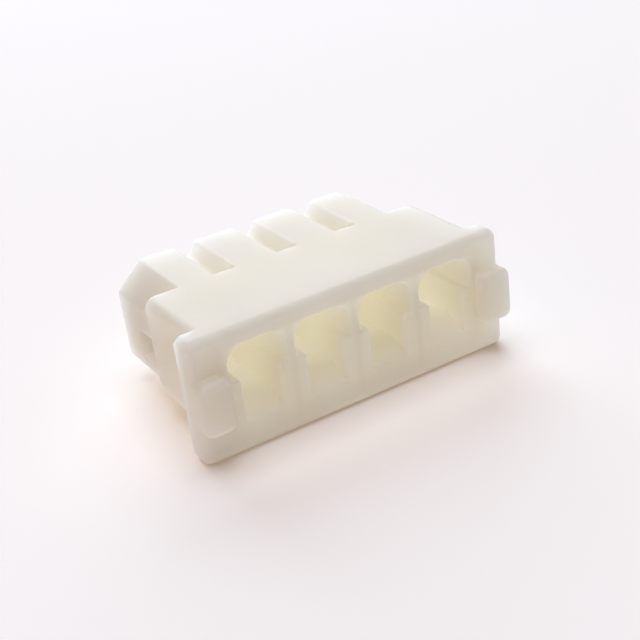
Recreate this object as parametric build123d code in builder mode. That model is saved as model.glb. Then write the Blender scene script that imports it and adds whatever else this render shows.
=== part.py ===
from build123d import *
import os

os.makedirs("parts", exist_ok=True)

# Crimp contact housing, one moulding in natural nylon.
# X runs along the row of ways, +Y points at the mating end, Z is up.
# The origin is under the middle of the housing, on the level of its foot.

# Row of ways
ways = 4
pitch = 2.0
end_margin = 1.94

# Stepped body, each reach measured from the wire face
height = 3.64
foot_drop = 0.89
flange_thickness = 0.68
shoulder_reach = 3.6
nose_reach = 6.07
shoulder_inset = 0.42
nose_inset = 0.24
bevel_width = 0.84
bevel_height = 0.76

# Finger ears in front of the wire face
ear_gap = 0.16
ear_reach = 0.5
ear_bottom = 1.07
ear_top = 2.6

# Grooves between the lobes of the nose
groove_width = 0.68
groove_depth = 0.6

# Wire entry of one way, a rounded crown over a narrower slot
crown_wall = 0.28
crown_height = 0.99
crown_round = 0.5
roof_wall = 0.5
entry_depth = 3.0
mouth_drop = 0.29

# Contact chamber, post hole and lance window of one way
contact_width = 1.12
floor_wall = 0.3
nose_wall = 0.6
post_hole = 0.74
post_lead = 0.16
window_width = 0.8
window_start = 2.5
window_length = 1.7

# Latch pockets in the ends of the nose
pocket_gap = 0.2
pocket_length = 1.1
pocket_lip = 0.31
pocket_height = 0.9
pocket_wall = 0.27

# Polarising ribs under the body
rib_width = 0.76
rib_setback = 0.55
rib_lead = 0.3

# Edge rounding
flange_round = 0.28
shoulder_round = 0.35
ear_corner = 0.25
ear_round = 0.2
lobe_round = 0.18
nose_round = 0.15
ledge_round = 0.08
mouth_round = 0.1

# Sizes that follow
flange_width = (ways - 1) * pitch + 2 * end_margin
shoulder_width = flange_width - 2 * shoulder_inset
nose_width = shoulder_width - 2 * nose_inset
body_height = height - foot_drop
wire_face = (ear_reach - nose_reach) / 2
nose_tip = wire_face + nose_reach
crown_width = pitch - crown_wall
ear_width = end_margin - crown_width / 2 - ear_gap
crown_top = height - roof_wall
ledge_height = crown_top - crown_height
chamber_top = crown_top - crown_round
chamber_floor = foot_drop + floor_wall
chamber_height = chamber_top - chamber_floor
chamber_middle = (chamber_top + chamber_floor) / 2
mouth_floor = chamber_floor - mouth_drop
pocket_depth = (nose_width - (ways - 1) * pitch - contact_width) / 2 - pocket_wall
overlap = flange_thickness / 2


def across(y):
    """Plane across the housing at y, seen from the wire side with Z up."""
    return Plane.XZ.offset(-y)


# One cavity, from the wire face to the mating end, as the core pin leaves it
with BuildPart() as cavity:
    with BuildSketch(across(wire_face)) as keyhole:
        with Locations((0, ledge_height)):
            Rectangle(crown_width, crown_height, align=(Align.CENTER, Align.MIN))
        with Locations((0, chamber_middle)):
            Rectangle(contact_width, chamber_height)
        fillet(keyhole.vertices().group_by(Axis.Y)[-1], radius=crown_round)
        fillet(keyhole.vertices().filter_by_position(Axis.Y, ledge_height, ledge_height), radius=ledge_round)
    extrude(amount=-entry_depth)
    with BuildSketch(across(wire_face)):
        with Locations((0, chamber_middle)):
            Rectangle(contact_width, chamber_height)
    extrude(amount=wire_face - nose_tip + nose_wall)
    with BuildSketch(Plane.YZ):
        with BuildLine():
            Polyline(
                (wire_face, mouth_floor),
                (wire_face + flange_thickness, chamber_floor),
                (wire_face, chamber_floor),
                close=True,
            )
        make_face()
    extrude(amount=contact_width / 2, both=True)
    with BuildSketch(across(nose_tip)):
        with Locations((0, chamber_middle)):
            Rectangle(post_hole, post_hole)
    extrude(amount=nose_wall)
    with BuildSketch(Plane.XY.offset(foot_drop)):
        with Locations((0, wire_face + window_start)):
            Rectangle(window_width, window_length, align=(Align.CENTER, Align.MIN))
    extrude(amount=floor_wall)

with BuildPart() as housing:
    # Flange around the wire face
    with BuildSketch(across(wire_face)):
        with Locations((0, height / 2)):
            Rectangle(flange_width, height)
    extrude(amount=-flange_thickness)
    wire_edges = housing.faces().sort_by(Axis.Y)[0].edges()
    fillet(wire_edges + housing.edges().filter_by(Axis.Y), radius=flange_round)

    # Shoulder block behind the flange
    with BuildSketch(across(wire_face + overlap)) as shoulder:
        with Locations((0, foot_drop)):
            Rectangle(shoulder_width, body_height, align=(Align.CENTER, Align.MIN))
        fillet(shoulder.vertices().group_by(Axis.Y)[-1], radius=shoulder_round)
    extrude(amount=overlap - shoulder_reach)
    fillet(housing.faces().sort_by(Axis.Y)[-1].edges(), radius=shoulder_round)

    # Nose with bevelled top corners and a groove between each pair of lobes
    with BuildSketch(across(wire_face + overlap)) as nose:
        with BuildLine():
            Polyline(
                (-nose_width / 2, foot_drop),
                (-nose_width / 2, height - bevel_height),
                (bevel_width - nose_width / 2, height),
                (nose_width / 2 - bevel_width, height),
                (nose_width / 2, height - bevel_height),
                (nose_width / 2, foot_drop),
                close=True,
            )
        make_face()
        with Locations((0, height)):
            with GridLocations(pitch, pitch, ways - 1, 1):
                Polygon(
                    (-groove_width / 2, 0),
                    (0, -groove_depth),
                    (groove_width / 2, 0),
                    align=None,
                    mode=Mode.SUBTRACT,
                )
        fillet(nose.vertices() - nose.vertices().group_by(Axis.Y)[0], radius=lobe_round)
    extrude(amount=overlap - nose_reach)
    fillet(housing.faces().sort_by(Axis.Y)[-1].edges(), radius=nose_round)

    # Ears at both ends of the flange
    with BuildSketch(across(wire_face + overlap)):
        with Locations((0, (ear_bottom + ear_top) / 2)):
            with GridLocations(flange_width - ear_width, pitch, 2, 1):
                RectangleRounded(ear_width, ear_top - ear_bottom, radius=ear_corner)
    extrude(amount=overlap + ear_reach)
    fillet(housing.faces().group_by(Axis.Y)[0].edges(), radius=ear_round)

    # Ribs between the two outer pairs of ways, level with the foot
    with BuildSketch(Plane.XY.offset(foot_drop)):
        with Locations((0, wire_face + overlap)):
            with GridLocations((ways - 2) * pitch, pitch, 2, 1):
                Rectangle(
                    rib_width,
                    nose_reach - rib_setback - overlap,
                    align=(Align.CENTER, Align.MIN),
                )
    extrude(amount=-foot_drop)
    rib_tips = housing.edges().filter_by(Axis.X).group_by(Axis.Z)[0].group_by(Axis.Y)[-1]
    chamfer(rib_tips, length=rib_lead)

    # Latch pockets
    with Locations((0, wire_face + shoulder_reach + pocket_gap, foot_drop + pocket_lip)):
        with GridLocations(nose_width, pitch, 2, 1):
            Box(
                2 * pocket_depth,
                pocket_length,
                pocket_height,
                align=(Align.CENTER, Align.MIN, Align.MIN),
                mode=Mode.SUBTRACT,
            )

    # Cavities along the row
    with GridLocations(pitch, pitch, ways, 1):
        add(cavity.part, mode=Mode.SUBTRACT)
    mouths = housing.faces().filter_by(Axis.Y).group_by(Axis.Y)[1].face().inner_wires()
    fillet(mouths.edges(), radius=mouth_round)
    post_holes = housing.faces().filter_by(Axis.Y).group_by(Axis.Y)[-1].face().inner_wires()
    chamfer(post_holes.edges(), length=post_lead)

housing.part.label = "housing"
export_step(housing.part, "parts/housing.step")
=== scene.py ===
"""Looks of a crimp contact housing: one moulding in natural nylon on a pale floor."""
import math

import bpy
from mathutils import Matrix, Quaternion, Vector


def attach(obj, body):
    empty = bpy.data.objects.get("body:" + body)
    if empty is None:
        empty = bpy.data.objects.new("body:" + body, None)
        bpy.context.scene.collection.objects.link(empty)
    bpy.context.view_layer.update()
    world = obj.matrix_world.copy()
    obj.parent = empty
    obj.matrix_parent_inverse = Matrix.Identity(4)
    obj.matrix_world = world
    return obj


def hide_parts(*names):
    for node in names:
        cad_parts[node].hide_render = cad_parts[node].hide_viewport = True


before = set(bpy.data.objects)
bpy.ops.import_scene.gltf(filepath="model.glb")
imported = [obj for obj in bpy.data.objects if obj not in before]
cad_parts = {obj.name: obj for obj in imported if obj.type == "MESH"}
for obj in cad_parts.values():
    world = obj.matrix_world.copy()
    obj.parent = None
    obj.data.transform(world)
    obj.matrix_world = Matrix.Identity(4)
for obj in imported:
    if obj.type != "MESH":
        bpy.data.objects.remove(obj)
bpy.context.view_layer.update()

# Sizes and places are in millimetres
MM = 0.001
PITCH = 2.0

# Skin of the moulding
WELD_DISTANCE = 0.001
CREASE_ANGLE = math.radians(28)

# Colours of the nylon, and of the painted glow in its wire entries and grooves, which stands in
# for daylight through its thin walls
MILKY_PALE = (0.91, 0.79, 0.625, 1)
MILKY_DEEP = (0.89, 0.765, 0.585, 1)
GRAIN_PALE = (0.92, 0.81, 0.655, 1)
NO_LIGHT = (0, 0, 0, 1)
# Emission colour of the painted glow in the wire entries
PAINTED_ENTRY_GLOW = (0.154, 0.169, 0.144, 1)
# Emission colour of the painted glow on one flank of each groove
PAINTED_FLANK_GLOW = (0.105, 0.12, 0.13, 1)

# Features of the nylon: flow clouds, grain in the colour, skin texture and sink marks
FLOW_SIZE = 3.2
FLOW_BAND = (0.3, 0.7)
GRAIN_SIZE = 0.12
GRAIN_BAND = (0.35, 0.75)
GRAIN_LEAST = 0.1
GRAIN_SPREAD = 0.3
SKIN_SIZE = 0.09
SKIN_HEIGHT = 0.35
SINK_SIZE = 1.6
ROUGHNESS_LEAST = 0.42
ROUGHNESS_SPREAD = 0.16

# Where the painted glow in the wire entries lies, standing in for daylight through the thin
# walls: each pair says where a fade starts and ends
WAY_EDGE = (0.82, 1.0)
ROW_EDGE = (3.4, 4.2)
ENTRY_ROOF = (3.1, 3.28)
ENTRY_FLOOR = (0.1, 1.1)
ENTRY_MOUTH = (-3.085, -0.985)
ENTRY_END = (0.515, 2.215)
WALL_SHARE = 0.6
MOUTH_SHARE = 0.5

# Where a painted glow lies on one flank of each groove, standing in for daylight through the
# lobes
FLANK_MIDDLE = 0.2
FLANK_EDGE = (0.1, 0.26)
GROOVE_ROW_EDGE = (2.6, 2.8)
GROOVE_START = (0.715, 0.915)
GROOVE_BOTTOM = (2.89, 3.04)

# Paper floor and the room around it
FLOOR_RADIUS = 300
FLOOR_SIDES = 64
PAPER_TOOTH = 0.5
PAPER_DULL = (0.97, 0.97, 0.96, 1)
PAPER_PALE = (0.98, 0.98, 0.97, 1)
PAPER_FILL = (1.0, 0.8, 0.64, 1)
HORIZON = (0.82, 0.8, 0.78, 1)
CEILING = (0.04, 0.038, 0.036, 1)
HORIZON_BAND = (0.0, 0.11)

# Lamps: name, place, brightness of a white face turned to it, and colour
LAMP_SIZE = 480
LAMPS = (
    ("lamp_overhead", (0, 0, 600), 0.59, (0.97, 0.97, 1.05)),
    ("lamp_left", (-440, 0, 400), 0.12, (1.0, 0.52, 0.4)),
    ("lamp_behind", (175, 470, 260), 0.74, (0.79, 0.89, 1.0)),
)

# Camera, fitted to the outline in the photograph
CAMERA_PLACE = (-14.925, -28.406, 17.603)
CAMERA_AIM = (0.269, -0.338, 1.572)
CAMERA_ROLL = math.radians(-7.708)
CAMERA_LENS = 70.0
CAMERA_NEAR = 1.0


class Sock:
    """One socket of a shader tree: arithmetic on it adds Math nodes, make() any other node."""

    def __init__(self, tree, socket=None):
        self.tree = tree
        self.socket = socket

    def make(self, kind, settings=None, sockets=None, out=0):
        node = self.tree.nodes.new(kind)
        for name, value in (settings or {}).items():
            setattr(node, name, value)
        for name, value in (sockets or {}).items():
            if isinstance(value, Sock):
                self.tree.links.new(value.socket, node.inputs[name])
            else:
                node.inputs[name].default_value = value
        return Sock(self.tree, node.outputs[out] if len(node.outputs) else None)

    def math(self, operation, *values):
        return self.make("ShaderNodeMath", {"operation": operation}, dict(enumerate(values)))

    def __add__(self, other):
        return self.math("ADD", self, other)

    def __radd__(self, other):
        return self.math("ADD", other, self)

    def __sub__(self, other):
        return self.math("SUBTRACT", self, other)

    def __rsub__(self, other):
        return self.math("SUBTRACT", other, self)

    def __mul__(self, other):
        return self.math("MULTIPLY", self, other)

    def __rmul__(self, other):
        return self.math("MULTIPLY", other, self)

    def __truediv__(self, other):
        return self.math("DIVIDE", self, other)

    def __abs__(self):
        return self.math("ABSOLUTE", self)

    def axes(self):
        """X, Y and Z of this vector."""
        parts = self.make("ShaderNodeSeparateXYZ", None, {"Vector": self}).socket.node.outputs
        return [Sock(self.tree, part) for part in parts]

    def off_half_pitch(self):
        """Distance from the nearest odd half pitch along the row."""
        turns = self / PITCH
        return abs(turns.math("FRACT", turns) - 0.5) * PITCH

    def fade(self, low, high):
        """0 below low, 1 above high and smooth between them."""
        sockets = {"Value": self, "From Min": low, "From Max": high}
        return self.make("ShaderNodeMapRange", {"interpolation_type": "SMOOTHSTEP"}, sockets)

    def blend(self, first, second):
        """Colour that goes from first to second as this value goes from 0 to 1."""
        sockets = {0: self, 6: first, 7: second}
        return self.make("ShaderNodeMix", {"data_type": "RGBA"}, sockets, out=2)


def new_material(name):
    """An empty node material, as (material, Sock to start from)."""
    material = bpy.data.materials.new(name)
    material.use_nodes = True
    material.node_tree.nodes.clear()
    material.cycles.emission_sampling = "NONE"
    return material, Sock(material.node_tree)


def noise(place, size, detail):
    """Cloudy noise with features of about that size."""
    sockets = {"Vector": place, "Scale": 1 / (size * MM), "Detail": detail}
    return place.make("ShaderNodeTexNoise", None, sockets)


def natural_nylon():
    """Milky nylon as moulded; a painted glow in the wire entries and on one flank of each groove
    stands in for daylight through its thin walls.
    """
    material, start = new_material("natural_nylon")
    place = start.make("ShaderNodeTexCoord", out="Object")
    x, y, z = [axis / MM for axis in place.axes()]

    # Painted glow in the row of wire entries, standing in for daylight through the thin walls; it
    # fades out through the walls around them
    open_way = 1 - x.off_half_pitch().fade(*WAY_EDGE)
    in_row = 1 - abs(x).fade(*ROW_EDGE)
    under_roof = 1 - z.fade(*ENTRY_ROOF)
    over_floor = z.fade(*ENTRY_FLOOR)
    before_end = 1 - y.fade(*ENTRY_END)
    through_wall = WALL_SHARE + (1 - WALL_SHARE) * open_way
    at_depth = MOUTH_SHARE + (1 - MOUTH_SHARE) * y.fade(*ENTRY_MOUTH)
    painted_entry_mask = in_row * under_roof * over_floor * through_wall * at_depth * before_end

    # Painted glow on one flank of each groove, standing in for daylight from the right that comes
    # through a lobe
    off_flank = 0.5 * PITCH - (x - FLANK_MIDDLE).off_half_pitch()
    on_flank = 1 - off_flank.fade(*FLANK_EDGE)
    between_lobes = 1 - abs(x).fade(*GROOVE_ROW_EDGE)
    past_shoulder = y.fade(*GROOVE_START)
    over_bottom = z.fade(*GROOVE_BOTTOM)
    painted_flank_mask = on_flank * between_lobes * past_shoulder * over_bottom

    # Painted glow: emission in the wire entries and on the groove flanks, though the nylon is no
    # lamp
    glow = painted_flank_mask.blend(painted_entry_mask.blend(NO_LIGHT, PAINTED_ENTRY_GLOW), PAINTED_FLANK_GLOW)

    flow = noise(place, FLOW_SIZE, detail=2.0).fade(*FLOW_BAND)
    grain = noise(place, GRAIN_SIZE, detail=4.0)
    milky = flow.blend(MILKY_PALE, MILKY_DEEP)
    speckled = grain.fade(*GRAIN_BAND).blend(milky, GRAIN_PALE)
    colour = (grain * GRAIN_SPREAD + GRAIN_LEAST).blend(milky, speckled)

    skin = noise(place, SKIN_SIZE, detail=3.0)
    sink = noise(place, SINK_SIZE, detail=1.0)
    height = skin * SKIN_HEIGHT + sink
    bump = place.make(
        "ShaderNodeBump", None, {"Strength": 0.25, "Distance": 0.012 * MM, "Height": height}
    )
    shader = place.make(
        "ShaderNodeBsdfPrincipled",
        {"subsurface_method": "RANDOM_WALK"},
        {
            "Base Color": colour,
            "Roughness": ROUGHNESS_LEAST + ROUGHNESS_SPREAD * skin,
            "IOR": 1.5,
            "Subsurface Weight": 1.0,
            "Subsurface Radius": (1.0, 1.0, 1.0),
            "Subsurface Scale": 3.0 * MM,
            "Emission Color": glow,
            "Emission Strength": 1.0,
            "Normal": bump,
        },
    )
    place.make("ShaderNodeOutputMaterial", None, {"Surface": shader})
    return material


def pale_floor():
    """Matt white paper with a faint tooth, which gives off a little warm light as a fill."""
    material, start = new_material("pale_floor")
    place = start.make("ShaderNodeTexCoord", out="Object")
    tooth = noise(place, PAPER_TOOTH, detail=4.0)
    bump = place.make(
        "ShaderNodeBump", None, {"Strength": 0.05, "Distance": 0.01 * MM, "Height": tooth}
    )
    shader = place.make(
        "ShaderNodeBsdfPrincipled",
        None,
        {
            "Base Color": tooth.blend(PAPER_DULL, PAPER_PALE),
            "Roughness": 0.9,
            "Emission Color": PAPER_FILL,
            "Emission Strength": 0.14,
            "Normal": bump,
        },
    )
    place.make("ShaderNodeOutputMaterial", None, {"Surface": shader})
    return material


def pale_room():
    """A dim room that turns pale down at the horizon."""
    world = bpy.data.worlds.new("pale_room")
    world.use_nodes = True
    world.node_tree.nodes.clear()
    start = Sock(world.node_tree)
    height = start.make("ShaderNodeTexCoord", out="Generated").axes()[2]
    colour = height.fade(*HORIZON_BAND).blend(HORIZON, CEILING)
    shine = start.make("ShaderNodeBackground", None, {"Color": colour, "Strength": 1.0})
    start.make("ShaderNodeOutputWorld", None, {"Surface": shine})
    return world


def skin_tree():
    """Geometry nodes that weld loose facets into one smooth skin and keep its crisp edges."""
    tree = bpy.data.node_groups.new("moulded_skin", "GeometryNodeTree")
    tree.is_modifier = True
    sockets = {}
    for name, kind in (
        ("Solid", "NodeSocketGeometry"),
        ("Weld distance", "NodeSocketFloat"),
        ("Crease angle", "NodeSocketFloat"),
        ("Nylon", "NodeSocketMaterial"),
    ):
        socket = tree.interface.new_socket(name, in_out="INPUT", socket_type=kind)
        sockets[name] = socket.identifier
    tree.interface.new_socket("Skin", in_out="OUTPUT", socket_type="NodeSocketGeometry")
    given = tree.nodes.new("NodeGroupInput")
    result = tree.nodes.new("NodeGroupOutput")
    weld = tree.nodes.new("GeometryNodeMergeByDistance")
    angle = tree.nodes.new("GeometryNodeInputMeshEdgeAngle")
    crease = tree.nodes.new("FunctionNodeCompare")
    smooth = tree.nodes.new("GeometryNodeSetShadeSmooth")
    sharp = tree.nodes.new("GeometryNodeSetShadeSmooth")
    whole = tree.nodes.new("GeometryNodeRealizeInstances")
    finish = tree.nodes.new("GeometryNodeSetMaterial")
    crease.operation = "GREATER_THAN"
    smooth.domain = "FACE"
    sharp.domain = "EDGE"
    smooth.inputs["Shade Smooth"].default_value = True
    sharp.inputs["Shade Smooth"].default_value = False
    for source, target in (
        (given.outputs["Solid"], weld.inputs["Geometry"]),
        (given.outputs["Weld distance"], weld.inputs["Distance"]),
        (weld.outputs["Geometry"], smooth.inputs["Geometry"]),
        (smooth.outputs["Geometry"], sharp.inputs["Geometry"]),
        (angle.outputs["Unsigned Angle"], crease.inputs["A"]),
        (given.outputs["Crease angle"], crease.inputs["B"]),
        (crease.outputs["Result"], sharp.inputs["Selection"]),
        (sharp.outputs["Geometry"], whole.inputs["Geometry"]),
        (whole.outputs["Geometry"], finish.inputs["Geometry"]),
        (given.outputs["Nylon"], finish.inputs["Material"]),
        (finish.outputs["Geometry"], result.inputs["Skin"]),
    ):
        tree.links.new(source, target)
    return tree, sockets


def moulded_housing(nylon):
    """The housing's skin, welded from a copy of its solid."""
    piece = bpy.data.objects.new("nylon_housing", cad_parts["housing"].data.copy())
    bpy.context.scene.collection.objects.link(piece)
    tree, sockets = skin_tree()
    skin = piece.modifiers.new("moulded_skin", "NODES")
    skin.node_group = tree
    skin[sockets["Weld distance"]] = WELD_DISTANCE * MM
    skin[sockets["Crease angle"]] = CREASE_ANGLE
    skin[sockets["Nylon"]] = nylon
    shown = piece.evaluated_get(bpy.context.evaluated_depsgraph_get())
    mesh = bpy.data.meshes.new_from_object(shown)
    piece.modifiers.clear()
    piece.data = mesh
    return piece


def soft_light(name, place, glow, colour):
    """Square lamp aimed at the housing; glow is how bright it makes a white face turned to it."""
    lamp = bpy.data.lights.new(name, "AREA")
    lamp.size = LAMP_SIZE * MM
    lamp.color = colour
    lamp.energy = glow * math.pi**2 * (Vector(place).length * MM) ** 2
    light = bpy.data.objects.new(name, lamp)
    light.location = Vector(place) * MM
    light.rotation_euler = (-light.location).to_track_quat("-Z", "Y").to_euler()
    light.visible_camera = False
    bpy.context.scene.collection.objects.link(light)


def studio():
    """Pale floor, soft lamps, a pale room and the camera."""
    scene = bpy.context.scene
    bpy.ops.mesh.primitive_circle_add(
        vertices=FLOOR_SIDES, radius=FLOOR_RADIUS * MM, fill_type="NGON"
    )
    floor = bpy.context.object
    floor.name = "floor"
    floor.data.materials.append(pale_floor())

    for name, place, glow, colour in LAMPS:
        soft_light(name, place, glow, colour)
    scene.world = pale_room()
    scene.view_settings.view_transform = "Standard"

    eye = bpy.data.cameras.new("photo_camera")
    eye.lens = CAMERA_LENS
    eye.clip_start = CAMERA_NEAR * MM
    camera = bpy.data.objects.new("photo_camera", eye)
    camera.location = Vector(CAMERA_PLACE) * MM
    sight = Vector(CAMERA_AIM) - Vector(CAMERA_PLACE)
    roll = Quaternion((0, 0, 1), CAMERA_ROLL)
    camera.rotation_mode = "QUATERNION"
    camera.rotation_quaternion = sight.to_track_quat("-Z", "Y") @ roll
    scene.collection.objects.link(camera)
    scene.camera = camera


housing = moulded_housing(natural_nylon())
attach(housing, "root")
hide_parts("housing")
studio()
